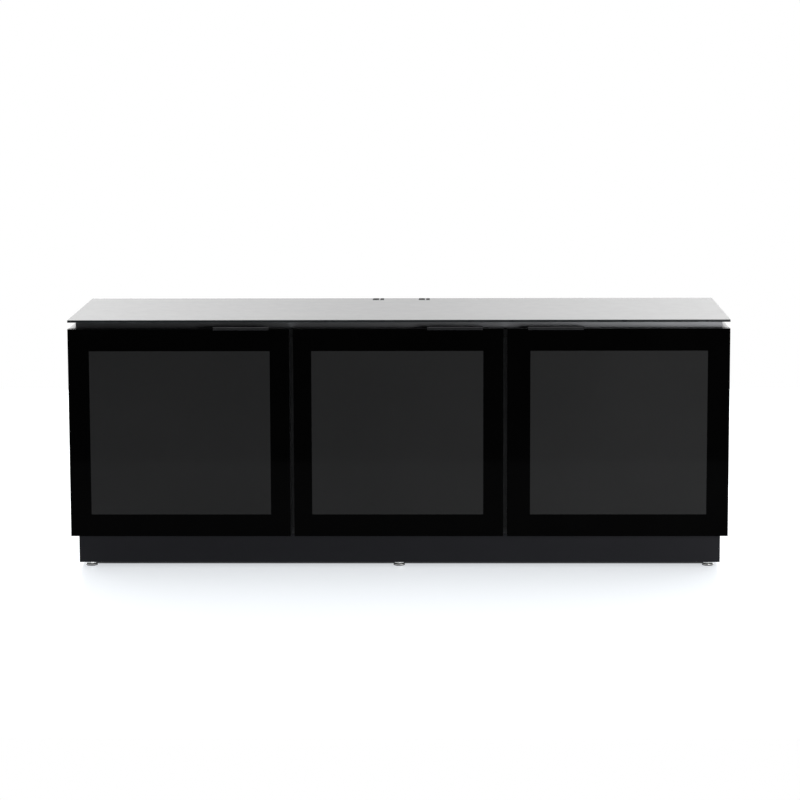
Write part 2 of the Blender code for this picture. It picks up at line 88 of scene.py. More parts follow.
class Facing(Enum):
    """The way that a screw, a sleeve or a disc looks, as the turn that takes +Z there."""

    UP = (0.0, 0.0, 0.0)
    DOWN = (math.pi, 0.0, 0.0)
    BACK = (-math.pi / 2, 0.0, 0.0)
    FRONT = (math.pi / 2, 0.0, 0.0)
    RIGHT = (0.0, math.pi / 2, 0.0)
    LEFT = (0.0, -math.pi / 2, 0.0)


class Axis(Enum):
    """An axis of the cabinet's frame: X to the right, Y to the back and Z up."""

    X = 0
    Y = 1
    Z = 2


# ---------------------------------------------------------------------------------------------
# Nodes
# ---------------------------------------------------------------------------------------------


def put(tree: bpy.types.NodeTree, socket: bpy.types.NodeSocket, value: object) -> None:
    """Link an output to an input, or give the input a plain value.

    Args:
        tree: the node tree.
        socket: the input.
        value: the output or the plain value.
    """
    if isinstance(value, bpy.types.NodeSocket):
        tree.links.new(value, socket)
    else:
        socket.default_value = value


def spread(tree: bpy.types.NodeTree, value: bpy.types.NodeSocket, given: Spot,
           wanted: tuple[Value, Value]) -> bpy.types.NodeSocket:
    """Spread a value from one range over another.

    Args:
        tree: the node tree.
        value: the value.
        given: the two ends of its own range.
        wanted: what it becomes there.

    Returns:
        The Map Range node's output.
    """
    node = tree.nodes.new("ShaderNodeMapRange")
    put(tree, node.inputs["Value"], value)
    for name, limit in zip(("From Min", "From Max", "To Min", "To Max"), (*given, *wanted)):
        put(tree, node.inputs[name], limit)
    return node.outputs["Result"]


# ---------------------------------------------------------------------------------------------
# Finishes
# ---------------------------------------------------------------------------------------------


class Shading:
    """A material's node tree while it is being built."""

    def __init__(self, name: str) -> None:
        """Start a material with one Principled shader.

        Args:
            name: the material's name.
        """
        self.material = bpy.data.materials.new(name)
        self.material.use_nodes = True
        self.tree = self.material.node_tree
        self.shader = self.tree.nodes["Principled BSDF"]
        place = self.tree.nodes.new("ShaderNodeTexCoord")
        self.place = place.outputs["Object"]

    def set(self, **values: float | Color) -> None:
        """Set constants on the shader's own sockets.

        Args:
            values: a value for each socket, with underscores for the spaces in its name.
        """
        for name, value in values.items():
            socket = self.shader.inputs[name.replace("_", " ")]
            socket.default_value = (*value, 1.0) if isinstance(value, tuple) else value

    def stretched(self, scale: Point) -> bpy.types.NodeSocket:
        """Return the place on the object, stretched.

        Args:
            scale: the factor along each axis.

        Returns:
            The Mapping node's output.
        """
        mapping = self.tree.nodes.new("ShaderNodeMapping")
        mapping.inputs["Scale"].default_value = scale
        self.tree.links.new(self.place, mapping.inputs["Vector"])
        return mapping.outputs["Vector"]

    def noise(self, scale: float, detail: float, stretch: Point = (1, 1, 1)) -> bpy.types.NodeSocket:
        """Return a soft noise over the object.

        Args:
            scale: how fine the noise is, in waves per metre.
            detail: the number of finer layers.
            stretch: the factor along each axis.

        Returns:
            The noise's value.
        """
        node = self.tree.nodes.new("ShaderNodeTexNoise")
        node.inputs["Scale"].default_value = scale
        node.inputs["Detail"].default_value = detail
        self.tree.links.new(self.stretched(stretch), node.inputs["Vector"])
        return node.outputs["Fac"]

    def ranged(self, noise: bpy.types.NodeSocket, low: float, high: float) -> bpy.types.NodeSocket:
        """Return a noise spread between two values."""
        return spread(self.tree, noise, NOISE_RANGE, (low, high))

    def tinted(self, noise: bpy.types.NodeSocket, color: Color, share: float) -> bpy.types.NodeSocket:
        """Return a colour that wanders a little either side of the given one.

        Args:
            noise: the noise that moves it.
            color: the colour in the middle.
            share: how far it goes, as a share of the colour.

        Returns:
            The colour.
        """
        node = self.tree.nodes.new("ShaderNodeValToRGB")
        darker, lighter = node.color_ramp.elements
        darker.position, lighter.position = NOISE_RANGE
        darker.color = (*(part * (1 - share) for part in color), 1.0)
        lighter.color = (*(part * (1 + share) for part in color), 1.0)
        self.tree.links.new(noise, node.inputs["Fac"])
        return node.outputs["Color"]

    def bump(self, height: bpy.types.NodeSocket, strength: float, distance: float) -> None:
        """Roughen the surface.

        Args:
            height: the relief.
            strength: the bump's strength.
            distance: the relief's depth in metres.
        """
        node = self.tree.nodes.new("ShaderNodeBump")
        node.inputs["Strength"].default_value = strength
        node.inputs["Distance"].default_value = distance
        self.tree.links.new(height, node.inputs["Height"])
        before = self.shader.inputs["Normal"]
        if before.is_linked:
            self.tree.links.new(before.links[0].from_socket, node.inputs["Normal"])
        self.tree.links.new(node.outputs["Normal"], before)

    def feed(self, name: str, value: bpy.types.NodeSocket) -> None:
        """Link a value to one of the shader's sockets."""
        self.tree.links.new(value, self.shader.inputs[name])


@dataclass(frozen=True)
class Finish:
    """A surface: its colour and gloss, how far they wander, and how fine its grain is."""

    name: str
    color: Color
    roughness: float
    metallic: float = 0.0
    specular: float = 0.5
    coat: float = 0.0
    alpha: float = 1.0
    glow: float = 0.0
    color_spread: float = 0.08
    cloud_scale: float = 9.0
    roughness_spread: float = 0.05
    smudge_scale: float = 35.0
    grain_scale: float = 900.0
    grain_depth: float = 0.00004
    grain_stretch: Point = (1.0, 1.0, 1.0)
    coat_roughness: float = 0.08
    cloud_detail: float = 4.0
    smudge_detail: float = 3.0
    grain_detail: float = 2.0
    grain_strength: float = 0.6

    def shade(self) -> Shading:
        """Build the finish's nodes.

        Returns:
            The shading, which holds the material.
        """
        shading = Shading(self.name)
        shading.set(Metallic=self.metallic, Specular_IOR_Level=self.specular, Alpha=self.alpha,
                    Coat_Weight=self.coat, Coat_Roughness=self.coat_roughness,
                    Emission_Color=self.color, Emission_Strength=self.glow)
        cloud = shading.noise(self.cloud_scale, self.cloud_detail)
        shading.feed("Base Color", shading.tinted(cloud, self.color, self.color_spread))
        smudge = shading.noise(self.smudge_scale, self.smudge_detail)
        shading.feed("Roughness", shading.ranged(smudge, self.roughness - self.roughness_spread,
                                                 self.roughness + self.roughness_spread))
        if self.grain_depth > 0:
            grain = shading.noise(self.grain_scale, self.grain_detail, self.grain_stretch)
            shading.bump(grain, self.grain_strength, self.grain_depth)
        return shading

    def material(self) -> bpy.types.Material:
        """Return the finish as a material."""
        return self.shade().material


@dataclass(frozen=True)
class EtchedFinish(Finish):
    """Glass etched to a soft matte, with a fine sparkle."""

    sparkle_scale: float = 2600.0
    sparkle_detail: float = 1.0
    sparkle_strength: float = 0.4
    sparkle_depth: float = 0.000012

    def shade(self) -> Shading:
        """Build the finish's nodes.

        Returns:
            The shading, which holds the material.
        """
        shading = super().shade()
        sparkle = shading.noise(self.sparkle_scale, self.sparkle_detail)
        shading.bump(sparkle, self.sparkle_strength, self.sparkle_depth)
        return shading


class Palette:
    """Every finish on the cabinet, made once and kept by name."""

    FINISHES = (
        EtchedFinish("etched_glass", (0.050, 0.050, 0.051), 0.34, specular=0.5, roughness_spread=0.01,
                     cloud_scale=2.2, color_spread=0.05, grain_scale=1200.0, grain_depth=0.00001),
        Finish("polished_glass_edge", (0.018, 0.0205, 0.0218), 0.3, specular=0.35, cloud_scale=30.0,
               grain_scale=400.0, grain_depth=0.00002, grain_stretch=(0.1, 0.1, 1.0)),
        Finish("black_enamel_glass", (0.0012, 0.0012, 0.0012), 0.05, specular=0.01, color_spread=0.15,
               roughness_spread=0.01, grain_scale=14.0, grain_depth=0.00001),
        Finish("smoked_glass", (0.0250, 0.0249, 0.0249), 0.05, specular=0.02, color_spread=0.06,
               cloud_scale=3.0, roughness_spread=0.01, grain_scale=14.0, grain_depth=0.00001),
        Finish("satin_lacquer", (0.0185, 0.0185, 0.0212), 0.42, specular=0.06, cloud_scale=6.0,
               color_spread=0.04, roughness_spread=0.015, grain_scale=700.0, grain_depth=0.00002),
        Finish("gloss_edge_band", (0.0185, 0.0185, 0.0212), 0.3, specular=0.45, cloud_scale=6.0,
               color_spread=0.04, roughness_spread=0.015, grain_scale=700.0, grain_depth=0.00001),
        # A lighter copy of the black anodised metal, used only on the front neck rail so that it shows
        # the light on its right: painted sheen
        Finish("anodised_metal_painted_sheen", (0.42, 0.425, 0.445), 0.5, metallic=1.0, color_spread=0.05,
               roughness_spread=0.03, grain_scale=500.0, grain_depth=0.00002,
               grain_stretch=LEVEL_LINES),
        Finish("black_anodised_metal", (0.08, 0.081, 0.085), 0.5, metallic=1.0, color_spread=0.05,
               roughness_spread=0.03, grain_scale=500.0, grain_depth=0.00002,
               grain_stretch=LEVEL_LINES),
        Finish("black_laminate", (0.024, 0.024, 0.0245), 0.5, specular=0.4, color_spread=0.2,
               grain_scale=1500.0, grain_depth=0.00006),
        Finish("black_backing", (0.012, 0.012, 0.0125), 0.55, specular=0.3, color_spread=0.15,
               grain_scale=1500.0, grain_depth=0.00006),
        Finish("pull_metal", (0.034, 0.034, 0.036), 0.34, metallic=0.6, grain_scale=700.0,
               grain_depth=0.00003, grain_stretch=(0.04, 1.0, 1.0)),
        Finish("plated_steel", (0.58, 0.58, 0.57), 0.28, metallic=1.0, roughness_spread=0.08,
               grain_scale=600.0, grain_depth=0.00003, grain_stretch=UPRIGHT_LINES),
        Finish("dark_zinc", (0.16, 0.16, 0.165), 0.42, metallic=0.8, roughness_spread=0.06,
               grain_scale=600.0, grain_depth=0.00003, grain_stretch=UPRIGHT_LINES),
        Finish("nickel", (0.62, 0.61, 0.59), 0.22, metallic=1.0, roughness_spread=0.06,
               grain_scale=900.0, grain_depth=0.00002),
        Finish("matte_black_plastic", (0.012, 0.012, 0.012), 0.8, specular=0.08, grain_scale=1400.0,
               grain_depth=0.00005),
        Finish("blackened_steel", (0.05, 0.05, 0.052), 0.38, metallic=0.9, roughness_spread=0.06,
               grain_scale=600.0, grain_depth=0.00003, grain_stretch=UPRIGHT_LINES),
        Finish("black_plastic", (0.016, 0.016, 0.017), 0.42, grain_scale=1400.0, grain_depth=0.00006),
        Finish("rubber", (0.022, 0.022, 0.022), 0.75, specular=0.3, grain_scale=1100.0,
               grain_depth=0.0001),
        Finish("clear_silicone", (0.42, 0.43, 0.43), 0.3, alpha=0.6, coat=0.3),
        Finish("magnet", (0.30, 0.30, 0.31), 0.4, metallic=0.8),
    )

    def __init__(self) -> None:
        """Make no material yet."""
        self.made: dict[str, bpy.types.Material] = {}

    def __getitem__(self, name: str) -> bpy.types.Material:
        """Return a finish's material, making it the first time.

        Args:
            name: the finish's name.

        Returns:
            The material.
        """
        if name not in self.made:
            finish = next(item for item in self.FINISHES if item.name == name)
            self.made[name] = finish.material()
        return self.made[name]


# ---------------------------------------------------------------------------------------------
# Shapes
# ---------------------------------------------------------------------------------------------


class Shape:
    """A closed mesh in the cabinet's frame, built up and then turned into a piece."""

    def __init__(self) -> None:
        """Start with nothing."""
        self.mesh = bmesh.new()

    def box(self, low: Sequence[float], high: Sequence[float]) -> "Shape":
        """Add a box.

        Args:
            low: its lowest corner.
            high: its highest corner.

        Returns:
            The shape itself.
        """
        low_corner, high_corner = Vector(low), Vector(high)
        made = bmesh.ops.create_cube(self.mesh, size=1.0)["verts"]
        bmesh.ops.scale(self.mesh, vec=high_corner - low_corner, verts=made)
        bmesh.ops.translate(self.mesh, vec=(low_corner + high_corner) / 2, verts=made)
        return self

    def prism(self, outline: Sequence[Spot], start: float, end: float, along: Axis) -> "Shape":
        """Add a bar with a given outline.

        Args:
            outline: its corners on the two other axes, in X, Y, Z order.
            start: where it starts along its own axis.
            end: where it ends.
            along: its own axis.

        Returns:
            The shape itself.
        """
        corners = []
        for first, second in outline:
            place = [first, second]
            place.insert(along.value, start)
            corners.append(self.mesh.verts.new(place))
        face = self.mesh.faces.new(corners)
        grown = bmesh.ops.extrude_face_region(self.mesh, geom=[face])["geom"]
        step = Vector((0, 0, 0))
        step[along.value] = end - start
        moved = [item for item in grown if isinstance(item, bmesh.types.BMVert)]
        bmesh.ops.translate(self.mesh, vec=step, verts=moved)
        return self

    def turned(self, profile: Sequence[Spot], center: Sequence[float], steps: int,
               facing: Facing = Facing.UP) -> "Shape":
        """Add a round part.

        Args:
            profile: its (radius, height) points, from the axis back to the axis.
            center: the place of height 0 on the axis.
            steps: the number of sides.
            facing: the way that its height grows.

        Returns:
            The shape itself.
        """
        before = set(self.mesh.verts)
        points = [self.mesh.verts.new((radius, 0, height)) for radius, height in profile]
        edges = [self.mesh.edges.new(pair) for pair in zip(points, points[1:])]
        bmesh.ops.spin(self.mesh, geom=points + edges, cent=(0, 0, 0), axis=(0, 0, 1),
                       angle=math.tau, steps=steps, use_merge=True)
        made = [vert for vert in self.mesh.verts if vert not in before]
        turn = Matrix.Translation(center) @ Euler(facing.value).to_matrix().to_4x4()
        bmesh.ops.transform(self.mesh, matrix=turn, verts=made)
        bmesh.ops.remove_doubles(self.mesh, verts=made, dist=WELD)
        return self

    def split(self, axis: Axis, place: float) -> "Shape":
        """Cut the faces along a plane, without taking any away.

        Args:
            axis: the axis that the plane stands across.
            place: where it crosses that axis.

        Returns:
            The shape itself.
        """
        normal, point = Vector((0, 0, 0)), Vector((0, 0, 0))
        normal[axis.value] = 1
        point[axis.value] = place
        everything = self.mesh.verts[:] + self.mesh.edges[:] + self.mesh.faces[:]
        bmesh.ops.bisect_plane(self.mesh, geom=everything, dist=CUT_TOLERANCE, plane_co=point,
                               plane_no=normal)
        return self

    def soften(self, width: float, segments: int = 3, least_angle: float = 40.0) -> "Shape":
        """Round the sharp edges.

        Args:
            width: the rounding's width.
            segments: how many facets it has.
            least_angle: the smallest angle in degrees that counts as sharp.

        Returns:
            The shape itself.
        """
        bmesh.ops.recalc_face_normals(self.mesh, faces=self.mesh.faces)
        limit = math.radians(least_angle)
        sharp = [edge for edge in self.mesh.edges
                 if edge.is_manifold and edge.calc_face_angle(0.0) > limit]
        bmesh.ops.bevel(self.mesh, geom=sharp, offset=width, offset_type="OFFSET", segments=segments,
                        profile=0.5, affect="EDGES", clamp_overlap=True)
        return self

    def piece(self, name: str, materials: Sequence[bpy.types.Material],
              choose: Callable[[Vector, Vector], int] | None = None) -> bpy.types.Object:
        """Turn the shape into an object.

        Args:
            name: the piece's name.
            materials: its materials.
            choose: gives the number of a face's material from its middle and its normal.

        Returns:
            The object, at the origin and unturned.
        """
        bmesh.ops.recalc_face_normals(self.mesh, faces=self.mesh.faces)
        self.mesh.normal_update()
        if choose is not None:
            for face in self.mesh.faces:
                face.material_index = choose(face.calc_center_median(), face.normal)
        data = bpy.data.meshes.new(name)
        self.mesh.to_mesh(data)
        self.mesh.free()
        for material in materials:
            data.materials.append(material)
        made = bpy.data.objects.new(name, data)
        bpy.context.scene.collection.objects.link(made)
        return smooth(made)


def plain_mesh(made: bpy.types.Object) -> bpy.types.Object:
    """Replace an object's mesh with what its modifiers make of it, and take the modifiers away.

    Args:
        made: the object.

    Returns:
        The same object.
    """
    bpy.context.view_layer.update()
    before = made.data
    graph = bpy.context.evaluated_depsgraph_get()
    result = bpy.data.meshes.new_from_object(made.evaluated_get(graph))
    made.modifiers.clear()
    made.data = result
    result.name = made.name
    bpy.data.meshes.remove(before)
    return made


def smooth(made: bpy.types.Object) -> bpy.types.Object:
    """Shade an object smoothly, with flat faces kept flat beside their rounded edges.

    Args:
        made: the object.

    Returns:
        The same object, as a plain mesh.
    """
    made.data.shade_smooth()
    made.data.set_sharp_from_angle(angle=math.radians(CREASE_ANGLE))
    weighting = made.modifiers.new("Weighted normals", "WEIGHTED_NORMAL")
    weighting.keep_sharp = True
    return plain_mesh(made)


def arc(center: Spot, radius: float, start: float, end: float, steps: int) -> list[Spot]:
    """Return points along an arc.

    Args:
        center: the arc's centre.
        radius: its radius.
        start: its first angle in degrees.
        end: its last angle in degrees.
        steps: the number of stretches.

    Returns:
        The points, both ends included.
    """
    points = []
    for step in range(steps + 1):
        angle = math.radians(start + (end - start) * step / steps)
        points.append((center[0] + radius * math.cos(angle), center[1] + radius * math.sin(angle)))
    return points


def rounded_rectangle(low: Spot, high: Spot, radius: float, steps: int = 4) -> list[Spot]:
    """Return the outline of a rectangle with round corners, anticlockwise from the lower right.

    Args:
        low: its lower left corner.
        high: its upper right corner.
        radius: the corners' radius.
        steps: the number of stretches in a corner.

    Returns:
        The points.
    """
    outline = []
    left, right = low[0] + radius, high[0] - radius
    bottom, top = low[1] + radius, high[1] - radius
    centers = ((right, bottom), (right, top), (left, top), (left, bottom))
    for center, start in zip(centers, (-90, 0, 90, 180)):
        outline += arc(center, radius, start, start + 90, steps)
    return outline


# ---------------------------------------------------------------------------------------------
# Repeated fittings, made by Geometry Nodes
# ---------------------------------------------------------------------------------------------


class FittingTree:
    """A Geometry Nodes tree that puts a fitting on each point of its mesh."""

    def __init__(self, name: str, material: bpy.types.Material) -> None:
        """Start the tree.

        Args:
            name: the tree's name.
            material: what the fittings are made of.
        """
        self.group = bpy.data.node_groups.new(name, "GeometryNodeTree")
        self.material = material
        self.sockets: dict[str, str] = {}
        self.group.interface.new_socket("Geometry", in_out="OUTPUT", socket_type="NodeSocketGeometry")
        self.entry("Geometry", "NodeSocketGeometry")
        self.entry("Facing", "NodeSocketRotation")
        self.inputs = self.group.nodes.new("NodeGroupInput")
        self.output = self.group.nodes.new("NodeGroupOutput")

    def entry(self, name: str, kind: str) -> None:
        """Add a named input of a given kind."""
        made = self.group.interface.new_socket(name, in_out="INPUT", socket_type=kind)
        self.sockets[name] = made.identifier

    def lengths(self, *names: str) -> None:
        """Add named inputs that hold lengths in metres."""
        for name in names:
            self.entry(name, "NodeSocketFloat")

    def node(self, kind: str, **inputs: object) -> bpy.types.Node:
        """Add a node.

        Args:
            kind: the node's type.
            inputs: a value or an output for each input, with underscores for spaces.

        Returns:
            The node.
        """
        made = self.group.nodes.new(kind)
        for name, value in inputs.items():
            put(self.group, made.inputs[name.replace("_", " ")], value)
        return made

    def product(self, first: Value, second: Value) -> bpy.types.NodeSocket:
        """Return the product of two numbers or outputs.

        Args:
            first: a number or an output.
            second: another one.

        Returns:
            The Math node's output.
        """
        made = self.group.nodes.new("ShaderNodeMath")
        made.operation = "MULTIPLY"
        for socket, value in zip(made.inputs, (first, second)):
            put(self.group, socket, value)
        return made.outputs[0]

    def vector(self, x: Value, y: Value, z: Value) -> bpy.types.NodeSocket:
        """Return a vector of three numbers or outputs."""
        return self.node("ShaderNodeCombineXYZ", X=x, Y=y, Z=z).outputs["Vector"]

    def lifted(self, mesh: bpy.types.NodeSocket, height: Value) -> bpy.types.NodeSocket:
        """Return a mesh moved up by a height."""
        return self.node("GeometryNodeTransform", Geometry=mesh,
                         Translation=self.vector(0.0, 0.0, height)).outputs["Geometry"]

    def cut(self, mesh: bpy.types.NodeSocket, *tools: bpy.types.NodeSocket) -> bpy.types.NodeSocket:
        """Return a mesh with others cut out of it.

        Args:
            mesh: the mesh to cut.
            tools: the meshes to cut out.

        Returns:
            What is left.
        """
        made = self.group.nodes.new("GeometryNodeMeshBoolean")
        made.operation = "DIFFERENCE"
        made.solver = "EXACT"
        self.group.links.new(mesh, made.inputs["Mesh 1"])
        for tool in tools:
            self.group.links.new(tool, made.inputs["Mesh 2"])
        return made.outputs["Mesh"]

    def close(self, fitting: bpy.types.NodeSocket, points: bpy.types.NodeSocket | None = None) -> None:
        """Put the fitting on each point, make it real and give it its material.

        Args:
            fitting: the mesh to repeat.
            points: where, or None for the points of the input mesh.
        """
        places = self.inputs.outputs["Geometry"] if points is None else points
        copies = self.node("GeometryNodeInstanceOnPoints", Points=places, Instance=fitting,
                           Rotation=self.inputs.outputs["Facing"])
        solid = self.node("GeometryNodeRealizeInstances", Geometry=copies.outputs["Instances"])
        finished = self.node("GeometryNodeSetMaterial", Geometry=solid.outputs["Geometry"],
                             Material=self.material)
        self.group.links.new(finished.outputs["Geometry"], self.output.inputs["Geometry"])

    def scatter(self, name: str, places: Sequence[Point], facing: Facing, body: str,
                **sizes: float) -> None:
        """Make one piece with a fitting at each place.

        Args:
            name: the piece's name.
            places: where the fittings go.
            facing: the way that they look.
            body: the body that they ride on.
            sizes: a value for each named input, with underscores for spaces.
        """
        seed = bpy.data.meshes.new(name + "_places")
        seed.from_pydata(places, [], [])
        host = bpy.data.objects.new(name, seed)
        bpy.context.scene.collection.objects.link(host)
        modifier = host.modifiers.new("Fittings", "NODES")
        modifier.node_group = self.group
        modifier[self.sockets["Facing"]] = facing.value
        for size, value in sizes.items():
            modifier[self.sockets[size.replace("_", " ")]] = value
        host.update_tag()
        result = plain_mesh(host).data
        merged = bmesh.new()
        merged.from_mesh(result)
        bmesh.ops.remove_doubles(merged, verts=merged.verts, dist=FITTING_WELD)
        bmesh.ops.recalc_face_normals(merged, faces=merged.faces)
        merged.to_mesh(result)
        merged.free()
        result.shade_smooth()
        result.set_sharp_from_angle(angle=math.radians(FITTING_CREASE_ANGLE))
        LOG.info("%s on %s: %d faces", name, body, len(result.polygons))
        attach(host, body)


class ScrewTree(FittingTree):
    """A pan-head screw with a cross recess, whose shares are of its head's radius and height."""

    SIDES = 24
    TOP_SHARE = 0.62
    SLOT_LENGTH_SHARE = 1.1
    SLOT_WIDTH_SHARE = 0.26
    SLOT_LIFT_SHARE = 0.95

    def __init__(self, material: bpy.types.Material) -> None:
        """Build the head as a cone cut by two crossing slots.

        Args:
            material: what the screws are made of.
        """
        super().__init__("screw", material)
        self.lengths("Radius", "Height")
        radius, height = (self.inputs.outputs[name] for name in ("Radius", "Height"))
        head = self.node("GeometryNodeMeshCone", Vertices=self.SIDES, Radius_Bottom=radius,
                         Radius_Top=self.product(radius, self.TOP_SHARE), Depth=height)
        long_side = self.product(radius, self.SLOT_LENGTH_SHARE)
        short_side = self.product(radius, self.SLOT_WIDTH_SHARE)
        slots = []
        for x, y in ((long_side, short_side), (short_side, long_side)):
            slot = self.node("GeometryNodeMeshCube", Size=self.vector(x, y, height))
            slots.append(self.lifted(slot.outputs["Mesh"], self.product(height, self.SLOT_LIFT_SHARE)))
        self.close(self.cut(head.outputs["Mesh"], *slots))


class SleeveRowTree(FittingTree):
    """A row of metal sleeves that line the pin holes, running up from each point."""

    SIDES = 16
    DRILL_LIFT_SHARE = 0.4

    def __init__(self, material: bpy.types.Material) -> None:
        """Build the row along +Z and the sleeve as a drilled disc.

        Args:
            material: what the sleeves are made of.
        """
        super().__init__("sleeve_row", material)
        self.entry("Count", "NodeSocketInt")
        self.lengths("Pitch", "Radius", "Bore", "Height")
        outputs = self.inputs.outputs
        row = self.node("GeometryNodeMeshLine", Count=outputs["Count"],
                        Offset=self.vector(0.0, 0.0, outputs["Pitch"]))
        rows = self.node("GeometryNodeInstanceOnPoints", Points=outputs["Geometry"],
                         Instance=row.outputs["Mesh"])
        spots = self.node("GeometryNodeRealizeInstances", Geometry=rows.outputs["Instances"])
        disc, drill = (self.node("GeometryNodeMeshCylinder", Vertices=self.SIDES,
                                 Radius=outputs[name], Depth=outputs["Height"])
                       for name in ("Radius", "Bore"))
        high_drill = self.lifted(drill.outputs["Mesh"],
                                 self.product(outputs["Height"], self.DRILL_LIFT_SHARE))
        self.close(self.cut(disc.outputs["Mesh"], high_drill), spots.outputs["Geometry"])


class BumperTree(FittingTree):
    """A low dome with a narrower top."""

    SIDES = 24
    TOP_SHARE = 0.7

    def __init__(self, material: bpy.types.Material) -> None:
        """Build the dome as a cone cut off low.

        Args:
            material: what the bumpers are made of.
        """
        super().__init__("bumper", material)
        self.lengths("Radius", "Height")
        radius, height = (self.inputs.outputs[name] for name in ("Radius", "Height"))
        dome = self.node("GeometryNodeMeshCone", Vertices=self.SIDES, Radius_Bottom=radius,
                         Radius_Top=self.product(radius, self.TOP_SHARE), Depth=height)
        self.close(dome.outputs["Mesh"])


# ---------------------------------------------------------------------------------------------
# Sub-assemblies
# ---------------------------------------------------------------------------------------------


@dataclass
class Part:
    """A sub-assembly, which knows the palette and puts its pieces on their bodies."""

    palette: Palette

    def dress(self, finish: str, *nodes: str) -> None:
        """Give carried-over nodes a finish.

        Args:
            finish: the finish's name.
            nodes: the nodes' names.
        """
        for name in nodes:
            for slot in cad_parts[name].material_slots:
                slot.material = self.palette[finish]
        LOG.info("%s on %s", finish, ", ".join(nodes))

    def place(self, piece: bpy.types.Object, body: str, *nodes: str) -> None:
        """Put a piece on its body, in place of the nodes that it stands for.

        Args:
            piece: the piece.
            body: the body's name.
            nodes: the nodes that it replaces.
        """
        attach(piece, body)
        if nodes:
            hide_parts(*nodes)
        LOG.info("%s on %s: %d faces", piece.name, body, len(piece.data.polygons))


@dataclass
class Top(Part):
    """The floating glass top, its two flush inserts and the neck that holds it up."""

    corner_radius: float = 0.0011
    arris: float = 0.0006
    wide_prong: float = 0.0155
    narrow_prong: float = 0.009
    matte_depth: float = 0.00036
    matte_normal: float = 0.9

    def prongs(self, side: str) -> list[Spot]:
        """Return the left and right edge of each prong of an insert."""
        low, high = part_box(f"top_insert_{side}")
        return [(low[0], low[0] + self.wide_prong), (high[0] - self.narrow_prong, high[0])]

    def notched_outline(self) -> list[Spot]:
        """Draw the plate's outline, with a notch in its back edge for each prong.

        Returns:
            The points, anticlockwise from above.
        """
        low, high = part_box("top_glass")
        notch_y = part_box("top_insert_left")[0][1] - TOUCH
        outline = rounded_rectangle((low[0], low[1]), (high[0], high[1]), self.corner_radius)
        back_right = len(outline) // 2
        notches = []
        for side in reversed(ENDS):
            for left, right in reversed(self.prongs(side)):
                notches += [(right + TOUCH, high[1]), (right + TOUCH, notch_y),
                            (left - TOUCH, notch_y), (left - TOUCH, high[1])]
        return outline[:back_right] + notches + outline[back_right:]

    def build(self) -> None:
        """Build the plate, and dress the inserts and the neck."""
        low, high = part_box("top_glass")
        plate = Shape().prism(self.notched_outline(), low[2], high[2], Axis.Z)
        materials = (self.palette["etched_glass"], self.palette["polished_glass_edge"])
        matte_level = high[2] - self.matte_depth

        def surface(middle: Vector, normal: Vector) -> int:
            """Return 0 on the matte upper face and 1 on the polished edge and underside."""
            return int(abs(normal.z) <= self.matte_normal or middle.z <= matte_level)

        piece = plate.soften(self.arris, least_angle=50).piece("glass_top_plate", materials, surface)
        self.place(piece, CABINET, "top_glass")
        for side in ENDS:
            self.dress("matte_black_plastic", f"top_insert_{side}")
        # The front rail takes the lighter metal as a painted sheen; the back and end rails take the
        # plain black metal
        self.dress("anodised_metal_painted_sheen", "neck_rail_front")
        self.dress("black_anodised_metal", "neck_rail_back", "neck_rail_left", "neck_rail_right")


